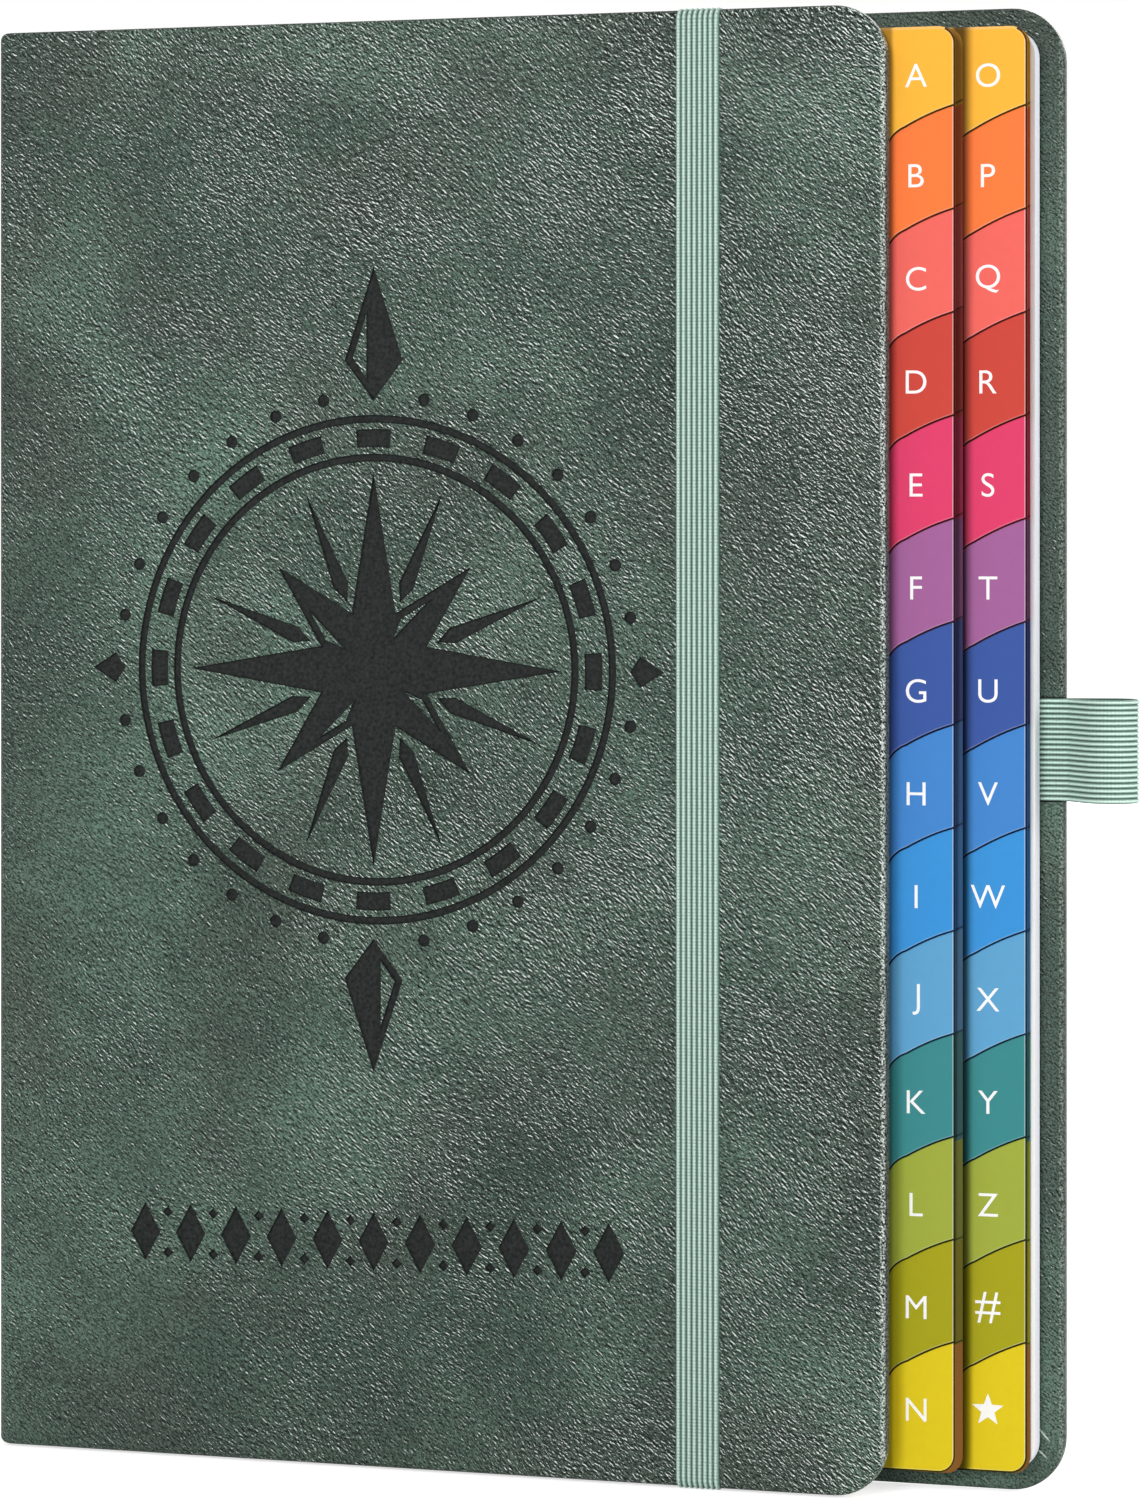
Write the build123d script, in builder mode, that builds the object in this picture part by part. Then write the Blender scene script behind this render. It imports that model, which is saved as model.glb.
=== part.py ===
"""Case-bound address book, standing on its tail edge.

X runs from the spine to the fore-edge, Y from the front cover to the back cover, Z from tail to head.
The origin is the middle of the bottom of the whole book, pen loop and closing band included.
"""
import os
from math import radians, tan

from build123d import *

os.makedirs("parts", exist_ok=True)

# Covers
cover_height = 205.0
back_cover_width = 155.5
front_cover_width = 133.3
book_thickness = 15.0
leather_thickness = 0.7
board_thickness = 2.1
pastedown_thickness = 0.2
cover_corner_radius = 7.5
outer_edge_radius = 1.1
inner_edge_radius = 0.8
turn_in_width = 14.0
turn_in_corner_radius = 3.0
pastedown_margin = 3.0
joint_width = 4.0
joint_gap = 1.0
spine_corner_radius = 2.0

# Page block
head_square = 3.1
fore_edge_square = 3.8
hollow_gap = 0.3
lining_thickness = 0.4
glue_thickness = 0.2
flyleaf_thickness = 0.15
page_corner_radius = 4.0
headband_width = 1.3
headband_height = 1.4
headband_crown_radius = 0.6
headband_clearance = 0.3

# Lettered sections, in two columns of tabs
tabs_per_column = 14
section_thickness = 0.2
last_section_thickness = 0.6
first_column_reach = 8.7
first_tab_height = 10.9
last_tab_height = 18.0
tab_slope = 24.0
tab_shoulder_radius = 3.6
tab_corner_radius = 2.4
notes_sections = 3

# Elastic closing band
band_width = 6.2
band_thickness = 0.5
band_from_fore_edge = 26.8
band_tail = 12.0
band_clearance = 0.2
band_corner_radius = 0.4

# Elastic pen loop
loop_width = 14.2
loop_thickness = 0.7
loop_reach = 10.8
loop_gap = 6.6
loop_tail = 16.0
loop_clearance = 0.15
loop_root_radius = 0.25

# Places worked out from the sizes above
overall_width = back_cover_width + loop_reach
overall_depth = book_thickness + band_thickness
mid_height = cover_height / 2
x_spine = -overall_width / 2
x_front_edge = x_spine + front_cover_width
x_back_edge = x_spine + back_cover_width
x_joint = x_spine + joint_width
x_band = x_front_edge - band_from_fore_edge
y_front = band_thickness - overall_depth / 2
y_back = y_front + book_thickness
y_middle = (y_front + y_back) / 2

shell_thickness = leather_thickness + board_thickness
cover_thickness = shell_thickness + pastedown_thickness
board_rim_thickness = board_thickness - leather_thickness
spine_width = book_thickness - 2 * cover_thickness
spine_board_width = spine_width - joint_gap

z_page_bottom = head_square
z_page_top = cover_height - head_square
page_height = z_page_top - z_page_bottom
x_lining = x_spine + shell_thickness + hollow_gap
x_glue = x_lining + lining_thickness
x_page = x_glue + glue_thickness
x_page_edge = x_back_edge - fore_edge_square
x_first_column = x_front_edge + first_column_reach
tab_pitch = (page_height - first_tab_height - last_tab_height) / (tabs_per_column - 2)

tab_names = [f"tab_{letter}" for letter in "abcdefghijklmnopqrstuvwxyz"]
tab_names += ["tab_number", "tab_star"]
tabs_thickness = section_thickness * (len(tab_names) - 1) + last_section_thickness
notes_thickness = spine_width - tabs_thickness - 2 * flyleaf_thickness

# Each cover is drawn on its outer face, looking into the book, about its middle height
front_face = Plane((0, y_front, mid_height), x_dir=(1, 0, 0), z_dir=(0, 1, 0))
back_face = Plane((0, y_back, mid_height), x_dir=(1, 0, 0), z_dir=(0, -1, 0))
spine_face = Plane((x_spine, y_middle, mid_height), x_dir=(0, 1, 0), z_dir=(1, 0, 0))


def save(piece, name):
    """Label a finished piece and write it under its own name."""
    piece.label = name
    export_step(piece, f"parts/{name}.step")


def panel(plane, x_from, x_to, height, corner_radius):
    """A rectangle with rounded corners on its fore-edge side only."""
    with BuildSketch(plane) as outline:
        with Locations(((x_from + x_to) / 2, 0)):
            Rectangle(x_to - x_from, height)
        fillet(outline.vertices().group_by(Axis.X)[-1], corner_radius)
    return outline.sketch


def block(plane, x_from, x_to, height):
    """A plain rectangle, for strips and for cuts."""
    with BuildSketch(plane) as outline:
        with Locations(((x_from + x_to) / 2, 0)):
            Rectangle(x_to - x_from, height)
    return outline.sketch


def board_layers(face, x_from, x_edge):
    """The rim of a cover board, and its full middle, which fills the space between the turn-ins."""
    rim = panel(
        face.offset(leather_thickness),
        x_from,
        x_edge - leather_thickness,
        cover_height - 2 * leather_thickness,
        cover_corner_radius - leather_thickness,
    )
    middle = panel(
        face.offset(board_thickness),
        x_from,
        x_edge - turn_in_width,
        cover_height - 2 * turn_in_width,
        turn_in_corner_radius,
    )
    return rim, middle


def band_channels(face):
    """Where the band presses into the leather at the head and tail edges of a cover."""
    channel_width = band_width + 2 * band_clearance
    with BuildSketch(face) as channels:
        with Locations((x_band, mid_height), (x_band, -mid_height)):
            Rectangle(channel_width, 2 * band_thickness)
    return channels.sketch


def band_tail_pockets(face):
    """Where the band's two tails lie in the turn-ins, under the pastedown."""
    pocket_width = band_width + 2 * band_clearance
    pocket_height = band_tail + band_clearance
    z_pocket = mid_height - pocket_height / 2
    with BuildSketch(face.offset(shell_thickness - band_thickness)) as pockets:
        with Locations((x_band, z_pocket), (x_band, -z_pocket)):
            Rectangle(pocket_width, pocket_height)
    return pockets.sketch


loop_channel = block(
    back_face.offset(shell_thickness - 2 * loop_thickness),
    x_back_edge - loop_tail,
    x_back_edge,
    loop_width + 2 * loop_clearance,
)

for side, face, x_edge in (("front", front_face, x_front_edge), ("back", back_face, x_back_edge)):
    inward = Axis(face.origin, face.z_dir)
    is_back = side == "back"

    with BuildPart() as board:
        rim, middle = board_layers(face, x_joint + joint_gap, x_edge)
        extrude(rim, amount=board_rim_thickness)
        extrude(middle, amount=leather_thickness)
        if is_back:
            extrude(loop_channel, amount=2 * loop_thickness, mode=Mode.SUBTRACT)
    save(board.part, f"{side}_board")

    with BuildPart() as leather:
        extrude(panel(face, x_joint, x_edge, cover_height, cover_corner_radius), amount=shell_thickness)
        fillet(leather.faces().sort_by(inward)[0].edges().sort_by(Axis.X)[1:], outer_edge_radius)
        fillet(leather.faces().sort_by(inward)[-1].edges().sort_by(Axis.X)[1:], inner_edge_radius)
        rim, middle = board_layers(face, x_joint, x_edge)
        extrude(rim, amount=board_rim_thickness, mode=Mode.SUBTRACT)
        extrude(middle, amount=leather_thickness, mode=Mode.SUBTRACT)
        extrude(band_channels(face), amount=shell_thickness, mode=Mode.SUBTRACT)
        if is_back:
            extrude(band_tail_pockets(face), amount=band_thickness, mode=Mode.SUBTRACT)
            extrude(loop_channel, amount=2 * loop_thickness, mode=Mode.SUBTRACT)
    save(leather.part, f"{side}_leather")

    with BuildPart() as pastedown:
        sheet = panel(
            face.offset(shell_thickness),
            x_joint + joint_gap,
            x_edge - pastedown_margin,
            cover_height - 2 * pastedown_margin,
            cover_corner_radius - pastedown_margin,
        )
        extrude(sheet, amount=pastedown_thickness)
    save(pastedown.part, f"{side}_pastedown")

    # The bare leather that bends between the spine and the cover
    y_outer = face.origin.Y
    into = face.z_dir.Y
    with BuildPart() as joint:
        with BuildSketch():
            with BuildLine():
                FilletPolyline(
                    (x_joint, y_outer),
                    (x_spine, y_outer),
                    (x_spine, y_outer + into * cover_thickness),
                    (x_spine + leather_thickness, y_outer + into * cover_thickness),
                    (x_spine + leather_thickness, y_outer + into * leather_thickness),
                    (x_joint, y_outer + into * leather_thickness),
                    radius=[0, spine_corner_radius, 0, 0, spine_corner_radius - leather_thickness, 0],
                    close=True,
                )
            make_face()
        extrude(amount=cover_height)
    save(joint.part, f"{side}_joint_leather")

# Spine: a board strip, and leather over it with turn-ins at head and tail
spine_rim_face = spine_face.offset(leather_thickness)
spine_middle_face = spine_face.offset(board_thickness)
spine_rim_height = cover_height - 2 * leather_thickness
spine_middle_height = cover_height - 2 * turn_in_width

with BuildPart() as spine_board:
    half_board = spine_board_width / 2
    extrude(block(spine_rim_face, -half_board, half_board, spine_rim_height), amount=board_rim_thickness)
    extrude(block(spine_middle_face, -half_board, half_board, spine_middle_height), amount=leather_thickness)
save(spine_board.part, "spine_board")

with BuildPart() as spine_leather:
    half_spine = spine_width / 2
    extrude(block(spine_face, -half_spine, half_spine, cover_height), amount=shell_thickness)
    outer_ends = spine_leather.faces().sort_by(Axis.X)[0].edges().filter_by(Axis.Y)
    fillet(outer_ends, outer_edge_radius)
    inner_ends = spine_leather.faces().sort_by(Axis.X)[-1].edges().filter_by(Axis.Y)
    fillet(inner_ends, inner_edge_radius)
    extrude(
        block(spine_rim_face, -half_spine, half_spine, spine_rim_height),
        amount=board_rim_thickness,
        mode=Mode.SUBTRACT,
    )
    extrude(
        block(spine_middle_face, -half_spine, half_spine, spine_middle_height),
        amount=leather_thickness,
        mode=Mode.SUBTRACT,
    )
save(spine_leather.part, "spine_leather")

# Binding: glue on the folds, cloth lining over it, and a band at each end
with BuildPart() as binding_glue:
    glue_face = spine_face.offset(x_glue - x_spine)
    extrude(block(glue_face, -spine_width / 2, spine_width / 2, page_height), amount=glue_thickness)
save(binding_glue.part, "binding_glue")

lining_overhang = headband_clearance + headband_height
with BuildPart() as spine_lining:
    lining_face = spine_face.offset(x_lining - x_spine)
    lining_height = page_height + 2 * lining_overhang
    extrude(block(lining_face, -spine_width / 2, spine_width / 2, lining_height), amount=lining_thickness)
save(spine_lining.part, "spine_lining")

for name, direction in (("headband", 1), ("tailband", -1)):
    z_seat = mid_height + direction * (page_height / 2 + headband_clearance)
    bead_face = Plane((x_glue, y_middle - spine_width / 2, z_seat), x_dir=(1, 0, 0), z_dir=(0, 1, 0))
    with BuildPart() as bead:
        with BuildSketch(bead_face) as section:
            with Locations((headband_width / 2, -direction * headband_height / 2)):
                Rectangle(headband_width, headband_height)
            fillet(section.vertices().group_by(Axis.X)[-1], headband_crown_radius)
        extrude(amount=spine_width)
    save(bead.part, name)


def page_plane(y):
    """The plane that page outlines are drawn on: X along the page, Y up it, facing the front cover."""
    return Plane.XZ.offset(-y)


def plain_page(x_edge, corner_radius):
    """Outline of a page with two rounded fore-edge corners: its points and the radius at each."""
    points = [(x_page, z_page_bottom), (x_edge, z_page_bottom), (x_edge, z_page_top), (x_page, z_page_top)]
    return points, [0, corner_radius, corner_radius, 0]


def tab_page(column, row):
    """Outline of a lettered section, cut away below its tab so that the tabs after it show."""
    x_root = x_front_edge if column == 0 else x_first_column
    x_tab = x_first_column if column == 0 else x_page_edge
    if row == tabs_per_column - 1:
        return plain_page(x_tab, tab_corner_radius)
    z_low = z_page_top - first_tab_height - row * tab_pitch
    z_shoulder = z_low - (x_tab - x_root) * tan(radians(tab_slope))
    points = [
        (x_page, z_page_bottom),
        (x_root, z_page_bottom),
        (x_root, z_shoulder),
        (x_tab, z_low),
        (x_tab, z_page_top),
        (x_page, z_page_top),
    ]
    return points, [0, 0, tab_shoulder_radius, 0, tab_corner_radius, 0]


# Every leaf of the block, front to back: its name, outline and thickness
leaves = [("front_flyleaf", plain_page(x_front_edge, tab_corner_radius), flyleaf_thickness)]
for index, name in enumerate(tab_names):
    column, row = divmod(index, tabs_per_column)
    is_last = index == len(tab_names) - 1
    thickness = last_section_thickness if is_last else section_thickness
    leaves.append((name, tab_page(column, row), thickness))
for number in range(1, notes_sections + 1):
    outline = plain_page(x_page_edge, page_corner_radius)
    leaves.append((f"notes_section_{number}", outline, notes_thickness / notes_sections))
leaves.append(("back_flyleaf", plain_page(x_page_edge, page_corner_radius), flyleaf_thickness))

y_leaf = y_front + cover_thickness
for name, (points, radii), thickness in leaves:
    y_leaf += thickness
    with BuildPart() as leaf:
        with BuildSketch(page_plane(y_leaf)):
            with BuildLine():
                FilletPolyline(points, radius=radii, close=True)
            make_face()
        extrude(amount=thickness)
    save(leaf.part, name)

# Closing band: down the front, over both edges, with its tails glued inside the back cover
y_band_front = y_front - band_thickness
y_tail_back = y_back - shell_thickness + band_thickness
band_side = Plane((x_band - band_width / 2, 0, 0), x_dir=(0, 1, 0), z_dir=(1, 0, 0))
with BuildPart() as elastic_band:
    with BuildSketch(band_side):
        with BuildLine():
            FilletPolyline(
                (y_band_front, 0),
                (y_tail_back, 0),
                (y_tail_back, band_tail),
                (y_tail_back - band_thickness, band_tail),
                (y_tail_back - band_thickness, band_thickness),
                (y_front, band_thickness),
                (y_front, cover_height - band_thickness),
                (y_tail_back - band_thickness, cover_height - band_thickness),
                (y_tail_back - band_thickness, cover_height - band_tail),
                (y_tail_back, cover_height - band_tail),
                (y_tail_back, cover_height),
                (y_band_front, cover_height),
                radius=[band_corner_radius, 0, 0, 0, 0, 0, 0, 0, 0, 0, 0, band_corner_radius],
                close=True,
            )
        make_face()
    extrude(amount=band_width)
save(elastic_band.part, "elastic_band")

# Pen loop: both tails in a channel under the pastedown, then an open drop shape past the fore-edge
y_channel = y_back - shell_thickness + loop_thickness
loop_end_radius = loop_gap / 2 + loop_thickness
root_radius = loop_root_radius + loop_thickness
x_loop_end = x_back_edge + loop_reach - loop_end_radius
y_loop_end = y_back - loop_end_radius
x_loop_root = x_back_edge + loop_clearance + root_radius
loop_floor = Plane.XY.offset(mid_height - loop_width / 2)

with BuildPart() as pen_loop:
    with BuildSketch(loop_floor):
        with Locations((x_loop_root, y_channel)):
            Circle(root_radius)
        with Locations((x_loop_end, y_loop_end)):
            Circle(loop_end_radius)
        make_hull()
    extrude(amount=loop_width)
    with BuildSketch(loop_floor):
        with Locations(((x_back_edge - loop_tail + loop_clearance + x_loop_root) / 2, y_channel)):
            Rectangle(x_loop_root - x_back_edge + loop_tail - loop_clearance, 2 * loop_thickness)
    extrude(amount=loop_width)
    with BuildSketch(loop_floor):
        with Locations((x_loop_root, y_channel)):
            Circle(loop_root_radius)
        with Locations((x_loop_end, y_loop_end)):
            Circle(loop_gap / 2)
        make_hull()
    extrude(amount=loop_width, mode=Mode.SUBTRACT)
save(pen_loop.part, "pen_loop")
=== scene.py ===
"""Address book with a stamped leather case, stepped index tabs, a closing band and a pen loop.

Every piece is built in metres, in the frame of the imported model: X from the spine to the fore-edge,
Y from the front cover to the back cover, Z from tail to head.
"""
from math import ceil, cos, pi, radians, sin, tan

import bmesh
import bpy
from mathutils import Matrix, Vector
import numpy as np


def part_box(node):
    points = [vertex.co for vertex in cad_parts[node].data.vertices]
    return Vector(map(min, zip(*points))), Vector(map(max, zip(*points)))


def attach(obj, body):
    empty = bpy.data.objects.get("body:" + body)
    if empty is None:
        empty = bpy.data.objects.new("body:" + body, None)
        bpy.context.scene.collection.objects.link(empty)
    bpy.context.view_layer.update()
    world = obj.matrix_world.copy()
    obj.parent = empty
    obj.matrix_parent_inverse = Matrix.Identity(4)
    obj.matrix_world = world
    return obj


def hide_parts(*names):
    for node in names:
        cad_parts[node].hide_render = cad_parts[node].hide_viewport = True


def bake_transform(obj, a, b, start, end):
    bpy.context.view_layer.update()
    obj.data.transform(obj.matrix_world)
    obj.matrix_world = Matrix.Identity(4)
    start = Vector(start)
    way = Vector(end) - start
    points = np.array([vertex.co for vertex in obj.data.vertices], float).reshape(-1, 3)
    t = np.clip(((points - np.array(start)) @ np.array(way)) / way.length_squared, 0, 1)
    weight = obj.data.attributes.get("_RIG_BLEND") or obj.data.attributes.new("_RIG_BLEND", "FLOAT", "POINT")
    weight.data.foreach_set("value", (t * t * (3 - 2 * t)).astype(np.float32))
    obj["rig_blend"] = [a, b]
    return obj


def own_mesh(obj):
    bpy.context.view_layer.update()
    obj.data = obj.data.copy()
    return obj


bl_info = {
    "name": "Address Book",
    "version": (1, 0, 0),
    "blender": (4, 5, 0),
    "location": "View3D > Sidebar > Address Book",
    "description": "Builds an address book with a stamped leather case and stepped index tabs",
    "category": "Object",
}

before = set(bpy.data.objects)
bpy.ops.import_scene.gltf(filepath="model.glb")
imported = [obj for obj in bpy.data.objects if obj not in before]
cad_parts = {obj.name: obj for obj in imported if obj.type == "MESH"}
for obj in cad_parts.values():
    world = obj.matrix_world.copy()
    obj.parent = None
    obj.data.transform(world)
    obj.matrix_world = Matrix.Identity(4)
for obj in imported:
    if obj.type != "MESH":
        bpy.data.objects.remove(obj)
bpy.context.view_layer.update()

MM = 0.001
BLACK = (0.0, 0.0, 0.0, 1.0)
WHITE = (1.0, 1.0, 1.0, 1.0)
# Places this close together are the same, and vertices this close to a line lie on it
SAME = 1e-6
NEAR = 0.01 * MM
# Edges that turn by more than this stay sharp: on sheets, joints, covers and elastic
SHEET_SHARP = radians(15)
JOINT_SHARP = radians(35)
COVER_SHARP = radians(40)
ELASTIC_SHARP = radians(50)

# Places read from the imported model
joint_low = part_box("front_joint_leather")[0]
front_low, front_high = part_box("front_leather")
back_low, back_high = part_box("back_leather")
band_low, band_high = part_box("elastic_band")
loop_low, loop_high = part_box("pen_loop")
page_low, page_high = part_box("notes_section_1")
x_spine = joint_low.x
x_joint = front_low.x
x_front_edge = front_high.x
x_first_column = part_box("tab_n")[1].x
x_back_edge = back_high.x
x_page = page_low.x
x_page_edge = page_high.x
y_front = front_low.y
y_back = back_high.y
z_page_bottom = page_low.z
z_page_top = page_high.z
cover_height = front_high.z
mid_height = cover_height / 2

NOTES_NODES = ["notes_section_1", "notes_section_2", "notes_section_3"]
TAB_NODES = [f"tab_{letter}" for letter in "abcdefghijklmnopqrstuvwxyz"] + ["tab_number", "tab_star"]
TAB_MARKS = list("ABCDEFGHIJKLMNOPQRSTUVWXYZ#") + ["star"]
ROWS_PER_COLUMN = 14
# Slope of a tab's lower edge, and width of the sweep at its root
TAB_SLOPE = tan(radians(24))
TAB_SWEEP = 3.4 * MM
# Sideways step for each length of depth, by which a column looks straight from the fore-edge side
SIGHT_SLOPE = 0.25
# What hides the roots of each column: the front cover, then the first column
COLUMN_ROOTS = (x_front_edge, x_first_column)
# How far the inner corners go under it, and how far the tabs of each column stand back
COLUMN_TUCKS = (0.5 * MM, 0.1 * MM)
COLUMN_SETBACKS = (0.0, 0.25 * MM)
# How wide a strip of painted shade shows beside each column, and how far painted shade darkens the cut edges
# of its cards
COLUMN_SHADE_STRIPS = (1.05 * MM, 0.4 * MM)
COLUMN_EDGE_SHADES = (0.74, 0.5)
# Where the painted shade beside a column's roots begins, how wide it is, and how dark
COLUMN_SHADES = ((-0.2 * MM, 0.7 * MM, 0.45), (0.7 * MM, 1.8 * MM, 0.12))
# How far that shade goes on under what lies in front, and how wide it fades there
SHADE_TUCK = 1.0 * MM
SHADE_FADE = 1.0 * MM
# How far the print goes on under what lies in front, and below its tab
PRINT_TUCK = 6 * MM
PRINT_DROP = 9 * MM
LETTER_THICKNESS = 0.02 * MM
ELASTIC_THICKNESS = 0.7 * MM
ROWS = (
    ("amber", "#FDB93F"),
    ("orange", "#FF7F41"),
    ("coral", "#F36B62"),
    ("red", "#CF4A3F"),
    ("pink", "#E2436E"),
    ("purple", "#A5659B"),
    ("indigo", "#3F5BA3"),
    ("blue", "#4788CF"),
    ("azure", "#3F95DA"),
    ("sky", "#62A5D1"),
    ("teal", "#3F8C8F"),
    ("olive", "#A2AE43"),
    ("moss", "#A9A41F"),
    ("yellow", "#E4CB22"),
)


def linear(hex_colour):
    """An sRGB hex value as linear RGBA."""
    channels = [int(hex_colour[i:i + 2], 16) / 255 for i in (1, 3, 5)]
    return tuple(c / 12.92 if c <= 0.04045 else ((c + 0.055) / 1.055) ** 2.4 for c in channels) + (1.0,)


def toward(colour, other, share):
    """A colour moved towards another one by a share."""
    return tuple(a + (b - a) * share for a, b in zip(colour, other))


def ease(share):
    """A share held between 0 and 1, with soft ends."""
    share = min(max(share, 0.0), 1.0)
    return share * share * (3 - 2 * share)


def tab_floor(name):
    """The height at which a section's tab ends, on its outer edge."""
    x_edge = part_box(name)[1].x
    return min(v.co.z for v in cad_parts[name].data.vertices if v.co.x > x_edge - NEAR)


z_first_floor = tab_floor("tab_a")
tab_pitch = z_first_floor - tab_floor("tab_b")


def depth_in_column(index):
    """How far behind the first tab of its column a tab lies."""
    first = TAB_NODES[index - index % ROWS_PER_COLUMN]
    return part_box(TAB_NODES[index])[0].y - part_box(first)[0].y


def edge_lean(index):
    """Sideways step of a tab, by which its column looks straight."""
    column = index // ROWS_PER_COLUMN
    last = (column + 1) * ROWS_PER_COLUMN - 1
    return SIGHT_SLOPE * (depth_in_column(last) / 2 - depth_in_column(index)) - COLUMN_SETBACKS[column]


def colour_value(name, description, hex_colour):
    """A colour that a user can change."""
    return bpy.props.FloatVectorProperty(
        name=name, description=description, subtype="COLOR", size=4, min=0, max=1, default=linear(hex_colour)
    )


def length_value(name, description, millimetres):
    """A length that a user can change."""
    return bpy.props.FloatProperty(
        name=name, description=description, subtype="DISTANCE", unit="LENGTH", precision=5,
        min=0, default=millimetres * MM,
    )


def count_value(name, description, count):
    """A number of like things that a user can change."""
    return bpy.props.IntProperty(name=name, description=description, default=count, min=1)


class LeatherSettings(bpy.types.PropertyGroup):
    """The grained leather of the case"""

    light: colour_value("Light", "Rubbed patches of the leather", "#5D7668")
    middle: colour_value("Middle", "Main tone of the leather", "#4A5D52")
    deep: colour_value("Deep", "Dark clouds in the leather", "#3D4E45")
    brown: colour_value("Brown", "Tint towards the edges of a cover", "#4A4B45")
    # Colour of the painted highlights on the grain and along the fore-edge
    painted_highlight_tone: colour_value("Rubbed", "Lit flanks of the grain", "#EEF4F0")
    # Colour of the painted shade on the grain and along the turned edges
    painted_shade: colour_value("Crease", "Shaded flanks of the grain", "#080D0B")
    grain_width: length_value("Grain width", "Width of one fold of the grain", 0.31)
    grain_length: length_value("Grain length", "Length of one fold of the grain", 0.75)
    grain_depth: length_value("Grain depth", "How deep the grain is pressed", 0.06)
    cloud_size: length_value("Cloud size", "Size of the light and dark patches", 34)
    edge_tint: length_value("Edge tint", "How far the brown tint reaches in from an edge", 16)


class OrnamentSettings(bpy.types.PropertyGroup):
    """The compass pressed into the front cover"""

    ink: colour_value("Ink", "Colour of the pressed figure", "#121917")
    depth: length_value("Depth", "How deep the figure is pressed", 0.35)
    slope: length_value("Slope", "Width of the sloping rim of the figure", 0.16)
    centre_x: length_value("From spine", "Middle of the figure, from the spine edge", 58.5)
    centre_z: length_value("Height", "Middle of the figure, above the tail edge", 113)
    star_radius: length_value("Star", "Reach of the four main points", 28)
    ring_radius: length_value("Ring", "Inner radius of the rings", 29.5)
    strip_z: length_value("Strip height", "Height of the strip of lozenges above the tail edge", 32)


class TabSettings(bpy.types.PropertyGroup):
    """The pages and their printed index tabs"""

    paper: colour_value("Paper", "Page paper", "#F7F6F3")
    letter: colour_value("Letter", "Index letters", "#FFFFFF")
    letter_height: length_value("Letter height", "Height of a capital letter with its margins", 3.42)
    letter_inset: length_value("Letter inset", "Middle of a letter, from the tab's outer edge", 5.5)
    # The dark line along a tab's edge is a painted shadow, and the light rim inside it a painted highlight
    line: length_value("Line", "Width of the dark line along a tab's edge", 0.24)
    rim: length_value("Rim", "Width of the light rim inside that line", 0.14)
    bend: length_value("Bend", "Width at the spine over which a leaf bends", 24)


class ElasticSettings(bpy.types.PropertyGroup):
    """The ribbed elastic of the closing band and the pen loop"""

    # The crest colours carry painted highlight and the groove colours painted shade
    light: colour_value("Light", "Crest of a rib", "#C6E0D4")
    deep: colour_value("Deep", "Groove between two ribs", "#627F74")
    loop_crest_highlight: colour_value("Loop light", "Crest of a rib of the pen loop", "#D8F5E8")
    loop_groove_shade: colour_value("Loop deep", "Groove between two ribs of the pen loop", "#4C6C60")
    band_ribs: count_value("Band ribs", "Ribs across the band", 8)
    loop_ribs: count_value("Loop ribs", "Ribs across the pen loop", 20)
    pick: length_value("Pick", "Spacing of the crosswise threads", 0.45)


class BookSettings(bpy.types.PropertyGroup):
    """All settings of the address book"""

    leather: bpy.props.PointerProperty(type=LeatherSettings)
    ornament: bpy.props.PointerProperty(type=OrnamentSettings)
    tabs: bpy.props.PointerProperty(type=TabSettings)
    elastic: bpy.props.PointerProperty(type=ElasticSettings)


def add(tree, kind, inputs=None, stops=None, out=0, **settings):
    """Add a shader node with its settings, its colour stops and its values or links by input.

    Gives the output that is asked for, or None for a node that has no outputs.
    """
    made = tree.nodes.new("ShaderNode" + kind)
    for key, value in settings.items():
        setattr(made, key, value)
    for key, value in (inputs or {}).items():
        if isinstance(value, bpy.types.NodeSocket):
            tree.links.new(value, made.inputs[key])
        else:
            made.inputs[key].default_value = value
    if stops:
        elements = made.color_ramp.elements
        while len(elements) < len(stops):
            elements.new(1.0)
        for element, (position, colour) in zip(elements, stops):
            element.position = position
            element.color = colour
    return made.outputs[out] if made.outputs else None


def new_material(name, finish, *values):
    """A node material: its finish adds nodes to the tree and gives the inputs of the shader."""
    material = bpy.data.materials.new(name)
    material.use_nodes = True
    tree = material.node_tree
    tree.nodes.clear()
    shader = add(tree, "BsdfPrincipled", finish(tree, *values))
    add(tree, "OutputMaterial", {"Surface": shader})
    return material


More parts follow.
